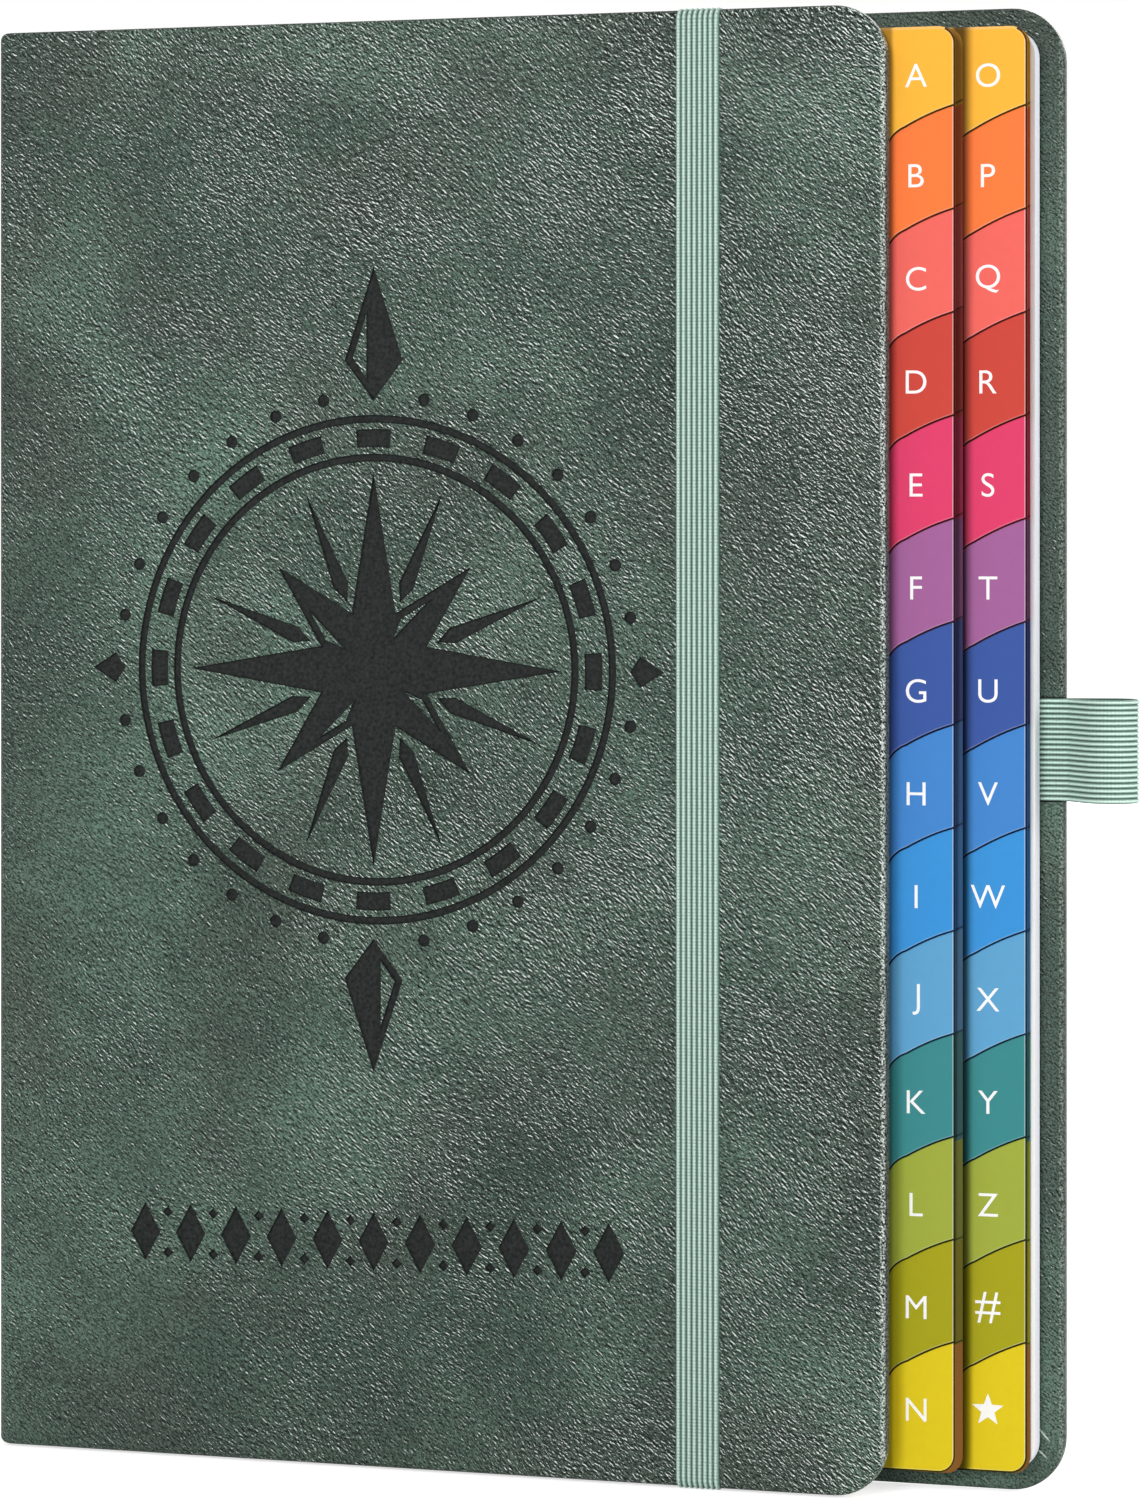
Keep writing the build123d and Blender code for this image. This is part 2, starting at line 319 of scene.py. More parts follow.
def grained_leather(tree, low, high, settings, strength=1.0):
    """PU leather pressed with a grain of short folds, in cloudy lighter and darker patches and browner
    towards its edges.

    The folds carry a painted highlight on one flank and painted shade on the other, which gives thin short
    strokes in a fine grit.
    A lower strength gives a fainter grain, and fainter painted light on it and at the edges.
    """
    drift_size, wander, lay = 40 * MM, 7 * MM, radians(-50)
    grit_size, patch_size, stain_size = 0.31 * MM, 15 * MM, 24 * MM
    painted_highlight_start, painted_highlight_full = 0.85 * MM, 0.6 * MM
    line_start, line_full = 0.22 * MM, 0.08 * MM
    place = add(tree, "TexCoord", out="Object")
    axes = add(tree, "SeparateXYZ", {"Vector": place}).node.outputs

    # The folds lie down to the right, and their direction wanders over the hide
    drift = add(tree, "TexNoise", {"Vector": place, "Scale": 1 / drift_size, "Detail": 2.0}, out="Color")
    drift = add(tree, "VectorMath", {0: drift, 1: (0.5, 0.5, 0.5)}, operation="SUBTRACT")
    drift = add(tree, "VectorMath", {0: drift, 1: (wander,) * 3, 2: place}, operation="MULTIPLY_ADD")
    fold_size = (settings.grain_width, settings.grain_width, settings.grain_length)
    turned = {"Vector": drift, "Rotation": (0, lay, 0), "Scale": fold_size}
    along = add(tree, "Mapping", turned, vector_type="TEXTURE")
    lee = add(tree, "VectorMath", {0: along, 1: (0.4, 0.0, 0.05)}, operation="ADD")
    folds = [
        add(tree, "TexNoise", {"Vector": spot, "Scale": 1.0, "Detail": 2.0, "Roughness": 0.55})
        for spot in (along, lee)
    ]
    # Slope of the folds towards a painted light: the bright flank gets painted highlight, the dark flank
    # painted shade
    painted_light_slope = add(tree, "Math", {0: folds[1], 1: folds[0]}, operation="SUBTRACT")
    grit = add(tree, "TexNoise", {"Vector": place, "Scale": 1 / grit_size, "Detail": 1.0})

    # The grain is deeper in some patches than in others, and deepest towards the head and the fore-edge,
    # where its painted highlights and shade are strongest too
    patches = add(tree, "TexNoise", {"Vector": place, "Scale": 1 / patch_size, "Detail": 2.0})
    span = {"From Min": 0.38, "From Max": 0.66, "To Min": 0.7 * strength, "To Max": strength}
    patches = add(tree, "MapRange", {"Value": patches, **span})
    span = {"From Min": low.x, "From Max": high.x, "To Max": 0.55}
    outward = add(tree, "MapRange", {"Value": axes["X"], **span})
    span = {"From Min": low.z, "From Max": high.z, "To Min": 0.8, "To Max": 1.1}
    upward = add(tree, "MapRange", {"Value": axes["Z"], **span})
    depth = add(tree, "Math", {0: outward, 1: upward}, operation="ADD")
    depth = add(tree, "Math", {0: depth, 1: patches}, operation="MULTIPLY")
    painted_light_slope = add(tree, "Math", {0: painted_light_slope, 1: depth}, operation="MULTIPLY")

    soft = {"Detail": 2.5, "Roughness": 0.5, "Distortion": 0.5}
    clouds = add(tree, "TexNoise", {"Vector": place, "Scale": 1 / settings.cloud_size, **soft})
    stops = ((0.3, settings.deep), (0.5, settings.middle), (0.7, settings.light))
    tone = add(tree, "ValToRGB", {"Fac": clouds}, stops)
    # How near the edges are: first the three that are turned over a board, then the spine as well
    reach = settings.edge_tint
    sides = (
        ("X", high.x - reach, high.x),
        ("Z", high.z - reach, high.z),
        ("Z", low.z + reach, low.z),
        ("X", low.x + reach, low.x),
    )
    nearness = [0.0]
    for axis, inner, outer in sides:
        ramp = add(tree, "MapRange", {"Value": axes[axis], "From Min": inner, "From Max": outer})
        nearness.append(add(tree, "Math", {0: nearness[-1], 1: ramp}, operation="MAXIMUM"))
    turned_edge, edge = nearness[-2:]
    stain = add(tree, "TexNoise", {"Vector": place, "Scale": 1 / stain_size, "Detail": 2.0})
    stain = add(tree, "MapRange", {"Value": stain, "From Min": 0.5, "From Max": 0.75})
    brown = add(tree, "Math", {0: edge, 1: 0.45, 2: stain}, operation="MULTIPLY_ADD", use_clamp=True)
    brown = add(tree, "Math", {0: brown, 1: 0.42}, operation="MULTIPLY")
    tone = add(tree, "Mix", {"Factor": brown, 6: tone, 7: settings.brown}, out=2, data_type="RGBA")
    span = {"From Min": 0.34, "From Max": 0.66, "To Min": 0.5, "To Max": 1.55}
    speckle = add(tree, "MapRange", {"Value": grit, **span})
    tone = add(tree, "VectorMath", {0: tone, "Scale": speckle}, operation="SCALE")

    # Painted shade on the dark flanks of the folds, painted highlight on the bright ones
    painted_shade = add(tree, "MapRange", {"Value": painted_light_slope, "From Min": -0.03, "From Max": -0.085})
    painted_glint = add(tree, "MapRange", {"Value": painted_light_slope, "From Min": 0.117, "From Max": 0.21})
    # A painted highlight in bright specks runs along the fore-edge, just inside a line of painted shade along
    # the turned edges
    span = {"From Min": high.x - painted_highlight_start, "From Max": high.x - painted_highlight_full, "To Max": 0.6 * strength ** 2}
    painted_highlight = add(tree, "MapRange", {"Value": axes["X"], **span}, interpolation_type="SMOOTHSTEP")
    painted_highlight = add(tree, "MapRange", {"Value": grit, "From Min": 0.45, "From Max": 0.65, "To Max": painted_highlight})
    # A line of painted shade on the side faces and rounded edges of the turned edges
    span = {"From Min": 1 - line_start / reach, "From Max": 1 - line_full / reach, "To Max": 0.75 * strength}
    line = add(tree, "MapRange", {"Value": turned_edge, **span})
    # The dark tone is painted shade and the bright tone painted highlight
    dark, bright = settings.painted_shade, settings.painted_highlight_tone
    for share, colour in ((painted_shade, dark), (painted_glint, bright), (painted_highlight, bright), (line, dark)):
        tone = add(tree, "Mix", {"Factor": share, 6: tone, 7: colour}, out=2, data_type="RGBA")
    relief = add(tree, "Math", {0: grit, 1: 0.4, 2: folds[0]}, operation="MULTIPLY_ADD")
    return {
        "Base Color": tone,
        "Roughness": add(tree, "MapRange", {"Value": grit, "To Min": 0.6, "To Max": 0.4}),
        "Specular IOR Level": 0.11,
        "Normal": add(tree, "Bump", {"Strength": depth, "Distance": settings.grain_depth, "Height": relief}),
    }


def pressed_ink(tree, settings):
    """Hot-pressed ink in leather: the die has flattened the grain, so it is dark, smooth and a bit satin."""
    speckle_size, relief = 0.5 * MM, 0.04 * MM
    place = add(tree, "TexCoord", out="Object")
    speckle = add(tree, "TexNoise", {"Vector": place, "Scale": 1 / speckle_size, "Detail": 3.0})
    stops = ((0.3, toward(settings.ink, BLACK, 0.3)), (0.7, toward(settings.ink, WHITE, 0.02)))
    return {
        "Base Color": add(tree, "ValToRGB", {"Fac": speckle}, stops),
        "Roughness": 0.55,
        "IOR": 1.45,
        "Specular IOR Level": 0.12,
        "Normal": add(tree, "Bump", {"Strength": 0.6, "Distance": relief, "Height": speckle}),
    }


def page_paper(tree, settings):
    """Uncoated white book paper: matt, with a faint mottle of fibres."""
    fibre_size, relief = 0.6 * MM, 0.02 * MM
    place = add(tree, "TexCoord", out="Object")
    fibres = add(tree, "TexNoise", {"Vector": place, "Scale": 1 / fibre_size, "Detail": 3.0})
    stops = ((0.3, toward(settings.paper, BLACK, 0.03)), (0.7, settings.paper))
    return {
        "Base Color": add(tree, "ValToRGB", {"Fac": fibres}, stops),
        "Roughness": 0.85,
        "IOR": 1.45,
        "Specular IOR Level": 0.25,
        "Normal": add(tree, "Bump", {"Strength": 0.4, "Distance": relief, "Height": fibres}),
    }


def cut_page_edge(tree):
    """The trimmed fore-edge of a page block: fine lines of single sheets, a little cooler than the page."""
    sheet_size, relief = (0.6 * MM, 0.12 * MM, 60 * MM), 0.03 * MM
    place = add(tree, "TexCoord", out="Object")
    sheets = add(tree, "Mapping", {"Vector": place, "Scale": sheet_size}, vector_type="TEXTURE")
    lines = add(tree, "TexNoise", {"Vector": sheets, "Scale": 1.0, "Detail": 2.0})
    stops = ((0.3, linear("#E2E5F1")), (0.7, linear("#FAFBFF")))
    return {
        "Base Color": add(tree, "ValToRGB", {"Fac": lines}, stops),
        "Roughness": 0.8,
        "IOR": 1.45,
        "Specular IOR Level": 0.25,
        "Normal": add(tree, "Bump", {"Strength": 0.5, "Distance": relief, "Height": lines}),
    }


def index_card(tree):
    """Coated card with an even printed colour, which each face carries with painted shadow and highlight at
    its edges and painted shade by its root, and a soft satin surface.
    """
    mottle_size = 1.2 * MM
    place = add(tree, "TexCoord", out="Object")
    ink = add(tree, "Attribute", out="Color", attribute_name="print")
    mottle = add(tree, "TexNoise", {"Vector": place, "Scale": 1 / mottle_size, "Detail": 3.0})
    mottle = add(tree, "MapRange", {"Value": mottle, "To Min": 0.97, "To Max": 1.03})
    tone = add(tree, "VectorMath", {0: ink, "Scale": mottle}, operation="SCALE")
    return {"Base Color": tone, "Roughness": 0.5, "IOR": 1.45, "Specular IOR Level": 0.06}


def cut_tab_edge(tree, first_tab, depth):
    """The cut edges of a column of cards: each row's colour darkened by painted shade, with the lines of its
    sheets.
    """
    seam_rise = 0.235
    sheet_size = (3 * MM, 0.2 * MM, 40 * MM)
    low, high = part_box(first_tab)
    place = add(tree, "TexCoord", out="Object")
    axes = add(tree, "SeparateXYZ", {"Vector": place}).node.outputs
    # The seams between the rows rise to the right on a face, and towards the back on the cut edges
    behind = add(tree, "Math", {0: axes["Y"], 1: low.y}, operation="SUBTRACT")
    beyond = add(tree, "Math", {0: axes["X"], 1: high.x}, operation="SUBTRACT")
    level = add(tree, "Math", {0: behind, 1: -seam_rise, 2: axes["Z"]}, operation="MULTIPLY_ADD")
    level = add(tree, "Math", {0: beyond, 1: -TAB_SLOPE, 2: level}, operation="MULTIPLY_ADD")
    row_height = tab_pitch + seam_rise * (high.y - low.y)
    rows_high = z_first_floor + row_height
    rows_low = rows_high - ROWS_PER_COLUMN * row_height
    share = add(tree, "MapRange", {"Value": level, "From Min": rows_high, "From Max": rows_low}, clamp=False)
    # Painted shade takes each row's colour towards dark brown, by the share given for the column
    stops = [
        (row / ROWS_PER_COLUMN, toward(linear(hex_colour), linear("#24110E"), depth))
        for row, (_, hex_colour) in enumerate(ROWS)
    ]
    # The last row, yellow, gets a brown painted shade instead
    stops[-1] = (stops[-1][0], linear("#7F5220"))
    ramp = add(tree, "ValToRGB", {"Fac": share}, stops)
    ramp.node.color_ramp.interpolation = "CONSTANT"
    sheets = add(tree, "Mapping", {"Vector": place, "Scale": sheet_size}, vector_type="TEXTURE")
    lines = add(tree, "TexNoise", {"Vector": sheets, "Scale": 1.0, "Detail": 1.0})
    shade = add(tree, "MapRange", {"Value": lines, "To Min": 0.75, "To Max": 1.2})
    # A painted dark shadow line lies between two rows, and none below the last one
    rows = add(tree, "Math", {0: share, 1: float(ROWS_PER_COLUMN)}, operation="MULTIPLY")
    rows = add(tree, "Math", {0: rows, 1: ROWS_PER_COLUMN - 0.5}, operation="MINIMUM")
    near = add(tree, "Math", {0: rows, 1: 0.5}, operation="PINGPONG")
    seam = add(tree, "MapRange", {"Value": near, "From Min": 0.006, "From Max": 0.014, "To Min": 0.3})
    shade = add(tree, "Math", {0: shade, 1: seam}, operation="MULTIPLY")
    tone = add(tree, "VectorMath", {0: ramp, "Scale": shade}, operation="SCALE")
    return {"Base Color": tone, "Roughness": 0.7, "IOR": 1.45, "Specular IOR Level": 0.2}


def ribbed_elastic(tree, light, deep, pick, dip):
    """Woven elastic: its colour with painted highlight on the ribs and painted shade in the grooves, crossed
    by fine threads that dip more or less.
    """
    fuzz_size, relief = 0.35 * MM, 0.1 * MM
    rib = add(tree, "Attribute", out="Fac", attribute_name="rib")
    along = add(tree, "Attribute", out="Fac", attribute_name="along")
    place = add(tree, "TexCoord", out="Object")
    fuzz = add(tree, "TexNoise", {"Vector": place, "Scale": 1 / fuzz_size, "Detail": 2.0})
    picks = add(tree, "Math", {0: along, 1: 2 * pi / pick}, operation="MULTIPLY")
    picks = add(tree, "Math", {0: picks}, operation="SINE")
    weave = add(tree, "Math", {0: picks, 1: dip, 2: rib}, operation="MULTIPLY_ADD")
    weave = add(tree, "Math", {0: fuzz, 1: 0.3, 2: weave}, operation="MULTIPLY_ADD")
    stops = ((0.2, deep), (0.6, toward(deep, light, 0.35)), (0.95, toward(deep, light, 0.5)), (1.0, light))
    return {
        "Base Color": add(tree, "ValToRGB", {"Fac": weave}, stops),
        "Roughness": 0.75,
        "IOR": 1.45,
        "Specular IOR Level": 0.15,
        "Sheen Weight": 0.06,
        "Sheen Roughness": 0.5,
        "Normal": add(tree, "Bump", {"Strength": 0.7, "Distance": relief, "Height": weave}),
    }


def plain_fibre(tree, hex_light, hex_dark, size, roughness=0.85):
    """Fibrous stock such as grey board, binding cloth or dried glue: mottled between two tones."""
    place = add(tree, "TexCoord", out="Object")
    place = add(tree, "Mapping", {"Vector": place, "Scale": (size,) * 3}, vector_type="TEXTURE")
    fibres = add(tree, "TexNoise", {"Vector": place, "Scale": 1.0, "Detail": 4.0, "Roughness": 0.6})
    stops = ((0.3, linear(hex_dark)), (0.7, linear(hex_light)))
    return {
        "Base Color": add(tree, "ValToRGB", {"Fac": fibres}, stops),
        "Roughness": roughness,
        "IOR": 1.45,
        "Normal": add(tree, "Bump", {"Strength": 0.5, "Distance": size / 4, "Height": fibres}),
    }


def striped_headband(tree, settings):
    """Woven headband: short stripes of mint and white thread across the binding."""
    stripe, relief = 1.1 * MM, 0.1 * MM
    place = add(tree, "TexCoord", out="Object")
    across = add(tree, "SeparateXYZ", {"Vector": place}, out="Y")
    phase = add(tree, "Math", {0: across, 1: 2 * pi / stripe}, operation="MULTIPLY")
    wave = add(tree, "Math", {0: phase}, operation="SINE")
    share = add(tree, "MapRange", {"Value": wave, "From Min": -0.3, "From Max": 0.3})
    tones = {"Factor": share, 6: settings.deep, 7: linear("#F1F0EA")}
    return {
        "Base Color": add(tree, "Mix", tones, out=2, data_type="RGBA"),
        "Roughness": 0.8,
        "Normal": add(tree, "Bump", {"Strength": 0.6, "Distance": relief, "Height": wave}),
    }


def background_seen(tree):
    """1 for a ray that sees the background, also mirrored or through glass, and 0 for light that it sheds."""
    rays = add(tree, "LightPath").node.outputs
    seen = add(tree, "Math", {0: rays["Is Camera Ray"], 1: rays["Is Glossy Ray"]}, operation="MAXIMUM")
    return add(tree, "Math", {0: seen, 1: rays["Is Transmission Ray"]}, operation="MAXIMUM")


def white_floor(tree):
    """Matt white sheet, lifted towards white where it is seen, which keeps the shadow of the book."""
    lift = 0.64
    return {
        "Base Color": (0.9, 0.9, 0.9, 1),
        "Roughness": 0.9,
        "Specular IOR Level": 0.0,
        "Emission Color": WHITE,
        "Emission Strength": add(tree, "Math", {0: background_seen(tree), 1: lift}, operation="MULTIPLY"),
    }


def new_piece(name, bm, materials, sharp=None):
    """Make a finished object from a bmesh; edges sharper than an angle stay sharp and the rest are smooth."""
    if sharp is not None:
        for face in bm.faces:
            face.smooth = True
        for edge in bm.edges:
            edge.smooth = len(edge.link_faces) == 2 and edge.calc_face_angle(pi) < sharp
    mesh = bpy.data.meshes.new(name)
    bm.to_mesh(mesh)
    bm.free()
    piece = bpy.data.objects.new(name, mesh)
    bpy.context.scene.collection.objects.link(piece)
    for material in materials:
        mesh.materials.append(material)
    return piece


def copy_of_node(name):
    """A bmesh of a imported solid, with its loose triangles merged into whole faces."""
    bm = bmesh.new()
    bm.from_mesh(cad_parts[name].data)
    bmesh.ops.remove_doubles(bm, verts=bm.verts, dist=0.002 * MM)
    bmesh.ops.dissolve_limit(
        bm, angle_limit=radians(0.5), use_dissolve_boundaries=False, verts=bm.verts, edges=bm.edges
    )
    return bm


def dress_node(name, material):
    """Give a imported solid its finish."""
    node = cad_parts[name]
    node.data.materials.clear()
    node.data.materials.append(material)


def new_items(made, kind):
    """The vertices, edges or faces among what an operator made."""
    return [item for item in made["geom"] if isinstance(item, kind)]


def cut(bm, place, normal, **clear):
    """Cut a mesh along a plane; both sides stay unless one is cleared."""
    geometry = bm.verts[:] + bm.edges[:] + bm.faces[:]
    bmesh.ops.bisect_plane(bm, geom=geometry, dist=1e-8, plane_co=place, plane_no=normal, **clear)


def cut_across(bm, places):
    """Add edge loops at the given X positions."""
    for x in places:
        cut(bm, (x, 0, 0), (1, 0, 0))


def joint_strip(name, y_outer, into, material):
    """The bare leather that bends between the spine and a cover, rounded over at head and tail."""
    thickness = 1.6 * MM
    corner = 2.0 * MM
    reach = 3.0 * MM
    edge_radius = 1.1 * MM
    loops = 12
    bm = bmesh.new()
    outline = [
        (x_joint, y_outer),
        (x_spine, y_outer),
        (x_spine, y_outer + into * reach),
        (x_spine + thickness, y_outer + into * reach),
        (x_spine + thickness, y_outer + into * thickness),
        (x_joint, y_outer + into * thickness),
    ]
    floor = bm.faces.new([bm.verts.new((x, y, 0)) for x, y in outline])
    raised = bmesh.ops.extrude_face_region(bm, geom=[floor])
    bmesh.ops.translate(bm, verts=new_items(raised, bmesh.types.BMVert), vec=(0, 0, cover_height))
    bmesh.ops.recalc_face_normals(bm, faces=bm.faces)
    outer = [
        edge for edge in bm.edges
        if all(abs(v.co.x - x_spine) < SAME and abs(v.co.y - y_outer) < SAME for v in edge.verts)
    ]
    bmesh.ops.bevel(
        bm, geom=outer, offset=corner, offset_type="OFFSET", segments=8, profile=0.5, affect="EDGES",
        material=-1,
    )
    centre = Vector((x_spine + corner, y_outer + into * corner, 0))
    rims = []
    for edge in bm.edges:
        ends = [v.co for v in edge.verts]
        is_level = abs(ends[0].z - ends[1].z) < SAME
        middle = (ends[0] + ends[1]) / 2
        on_front = abs(middle.y - y_outer) < SAME
        on_spine = abs(middle.x - x_spine) < SAME
        on_corner = (
            middle.x < centre.x
            and into * (middle.y - centre.y) < 0
            and (middle - Vector((centre.x, centre.y, middle.z))).length > corner * 0.9
        )
        if is_level and (on_front or on_spine or on_corner) and middle.x < x_joint - SAME:
            rims.append(edge)
    bmesh.ops.bevel(
        bm, geom=rims, offset=edge_radius, offset_type="OFFSET", segments=5, profile=0.5, affect="EDGES",
        clamp_overlap=True, material=-1,
    )
    cut_across(bm, [x_spine + (x_joint - x_spine) * i / loops for i in range(1, loops)])
    return new_piece(name, bm, [material], JOINT_SHARP)


def flat_shape(bm, points):
    """A flat face of the pressed figure, drawn in X and Z about its middle."""
    return bm.faces.new([bm.verts.new((x, 0, z)) for x, z in points])


def polar(radius, angle):
    """A point of the figure, by its distance from the middle and its angle from upright."""
    return radius * sin(angle), radius * cos(angle)


def flank(radius, angle, out):
    """A point beside the one at that distance and angle."""
    x, z = polar(radius, angle)
    return x + out * cos(angle), z - out * sin(angle)


def ring_shape(bm, inner, outer, start=0.0, sweep=2 * pi, steps=96):
    """A flat ring, or a piece of one."""
    ends = []
    for radius in (inner, outer):
        x, z = polar(radius, start)
        ends.append(bm.verts.new((x, 0, z)))
    edge = bm.edges.new(ends)
    is_whole = abs(sweep - 2 * pi) < SAME
    bmesh.ops.spin(
        bm, geom=ends + [edge], cent=(0, 0, 0), axis=(0, 1, 0), dvec=(0, 0, 0), angle=sweep, steps=steps,
        use_merge=is_whole,
    )


def compass_figure(settings):
    """The flat figure of the die: a star in two rings with finials, and a strip of lozenges below."""
    bm = bmesh.new()
    star, ring = settings.star_radius, settings.ring_radius
    gap, line = 0.35 * MM, 1.1 * MM
    halves, outlined = [], []

    def split_point(foot, tip, waist, wide, axis, is_outlined):
        """A long point in two halves, the left one drawn as an outline or full."""
        for side in (-1, 1):
            half = flat_shape(bm, [polar(foot, axis), polar(tip, axis), flank(waist, axis, side * wide)])
            halves.append(half)
            if side < 0 and is_outlined:
                outlined.append(half)

    shoulder, short_point = star * 0.31, star * 0.74
    waist, wide = shoulder * cos(pi / 8), shoulder * sin(pi / 8)
    for point in range(8):
        is_main = point % 2 == 0
        split_point(0, star if is_main else short_point, waist, wide, point * pi / 4, not is_main)
    # Long finials above and below the rings, short ones at the sides
    finial_foot = ring + 8.6 * MM
    for point in range(4):
        is_long = point % 2 == 0
        length, wide = (19 * MM, 4.4 * MM) if is_long else (5 * MM, 2.2 * MM)
        waist = finial_foot + length * 0.3
        split_point(finial_foot, finial_foot + length, waist, wide, point * pi / 2, is_long)
    rims = bmesh.ops.inset_individual(bm, faces=halves, thickness=gap, use_even_offset=True)
    bmesh.ops.delete(bm, geom=rims["faces"], context="FACES")
    bmesh.ops.inset_individual(bm, faces=outlined, thickness=line, use_even_offset=True)
    bmesh.ops.delete(bm, geom=outlined, context="FACES")
    # Needles between the points
    needle_foot, needle_waist, needle_tip = star * 0.37, star * 0.46, star * 0.97
    needle_width = 1.2 * MM
    for point in range(8):
        axis = (point + 0.5) * pi / 4
        left, right = [flank(needle_waist, axis, side * needle_width) for side in (-1, 1)]
        flat_shape(bm, [polar(needle_foot, axis), left, polar(needle_tip, axis), right])
    # Rings, with alternate blocks between them and a row of dots outside
    block_low, block_high, outer_ring, dot_ring = [ring + step * MM for step in (2, 4.6, 5.5, 9.4)]
    ring_shape(bm, ring, ring + line)
    blocks = 40
    step = 2 * pi / blocks
    for block in range(0, blocks, 2):
        ring_shape(bm, block_low, block_high, (block - 0.5) * step, step, 4)
    ring_shape(bm, outer_ring, outer_ring + line)
    dots, dot_radius = 32, 0.9 * MM
    for dot in range(dots):
        if dot % (dots // 4):
            x, z = polar(dot_ring, dot * 2 * pi / dots)
            turned = Matrix.Translation((x, 0, z)) @ Matrix.Rotation(pi / 2, 4, "X")
            bmesh.ops.create_circle(bm, cap_ends=True, segments=16, radius=dot_radius, matrix=turned)
    # The strip in the lower part of the cover: large lozenges, with a small pair between every two
    drop = settings.strip_z - settings.centre_z
    lozenges, pitch, pair_height = 11, 7 * MM, 2.9 * MM
    for place in range(2 * lozenges - 1):
        is_large = place % 2 == 0
        x = (place - lozenges + 1) * pitch / 2
        wide, tall = (2.3 * MM, 4.2 * MM) if is_large else (0.8 * MM, 0.8 * MM)
        for level in (0,) if is_large else (-pair_height, pair_height):
            z = drop + level
            flat_shape(bm, [(x - wide, z), (x, z + tall), (x + wide, z), (x, z - tall)])
    bmesh.ops.remove_doubles(bm, verts=bm.verts, dist=SAME)
    return bm


def press_figure(cover, settings, ink):
    """Press the figure into the cover's face, with a sloping rim."""
    bm = compass_figure(settings)
    bmesh.ops.delete(bm, geom=[v for v in bm.verts if not v.link_faces], context="VERTS")
    bmesh.ops.delete(bm, geom=[e for e in bm.edges if not e.link_faces], context="EDGES")
    ahead = 0.5 * MM
    middle = Vector((x_spine + settings.centre_x, y_front - ahead, settings.centre_z))
    bmesh.ops.translate(bm, verts=bm.verts, vec=middle)
    raised = bmesh.ops.extrude_face_region(bm, geom=bm.faces[:], use_keep_orig=True)
    floor = new_items(raised, bmesh.types.BMFace)
    bmesh.ops.translate(bm, verts=new_items(raised, bmesh.types.BMVert), vec=(0, ahead, 0))
    bmesh.ops.inset_region(bm, faces=floor, thickness=settings.slope, use_even_offset=True)
    lowered = {v for face in floor for v in face.verts}
    bmesh.ops.translate(bm, verts=list(lowered), vec=(0, settings.depth, 0))
    bmesh.ops.recalc_face_normals(bm, faces=bm.faces)
    die = new_piece("die", bm, [ink])
    pressing = cover.modifiers.new("pressed", "BOOLEAN")
    pressing.operation = "DIFFERENCE"
    pressing.solver = "EXACT"
    pressing.object = die
    pressing.material_mode = "TRANSFER"
    depsgraph = bpy.context.evaluated_depsgraph_get()
    pressed = bpy.data.meshes.new_from_object(cover.evaluated_get(depsgraph))
    cover.modifiers.clear()
    cover.data = pressed
    bpy.data.objects.remove(die)


class BookPiece:
    """What the operators share: settings and the undo flag."""

    bl_options = {"REGISTER", "UNDO"}

    @staticmethod
    def settings(context):
        """The settings of the book in this scene."""
        return context.scene.address_book


class ADDRESS_BOOK_OT_front_cover(BookPiece, bpy.types.Operator):
    """Leather of the front cover, with the figure pressed into it"""

    bl_idname = "address_book.front_cover"
    bl_label = "Front cover"

    def execute(self, context):
        settings = self.settings(context)
        leather = new_material(
            "front_leather_grain", grained_leather, joint_low, front_high, settings.leather
        )
        ink = new_material("pressed_ink", pressed_ink, settings.ornament)
        cover = new_piece("front_cover_leather", copy_of_node("front_leather"), [leather, ink], COVER_SHARP)
        press_figure(cover, settings.ornament, ink)
        cover.modifiers.new("even_shading", "WEIGHTED_NORMAL").keep_sharp = True
        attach(cover, "front_cover")
        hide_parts("front_leather")
        strip = joint_strip("front_joint", y_front, 1, leather)
        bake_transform(strip, "case", "front_cover", start=(x_spine + 0.3 * MM, 0, 0), end=(x_joint, 0, 0))
        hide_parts("front_joint_leather")
        return {"FINISHED"}


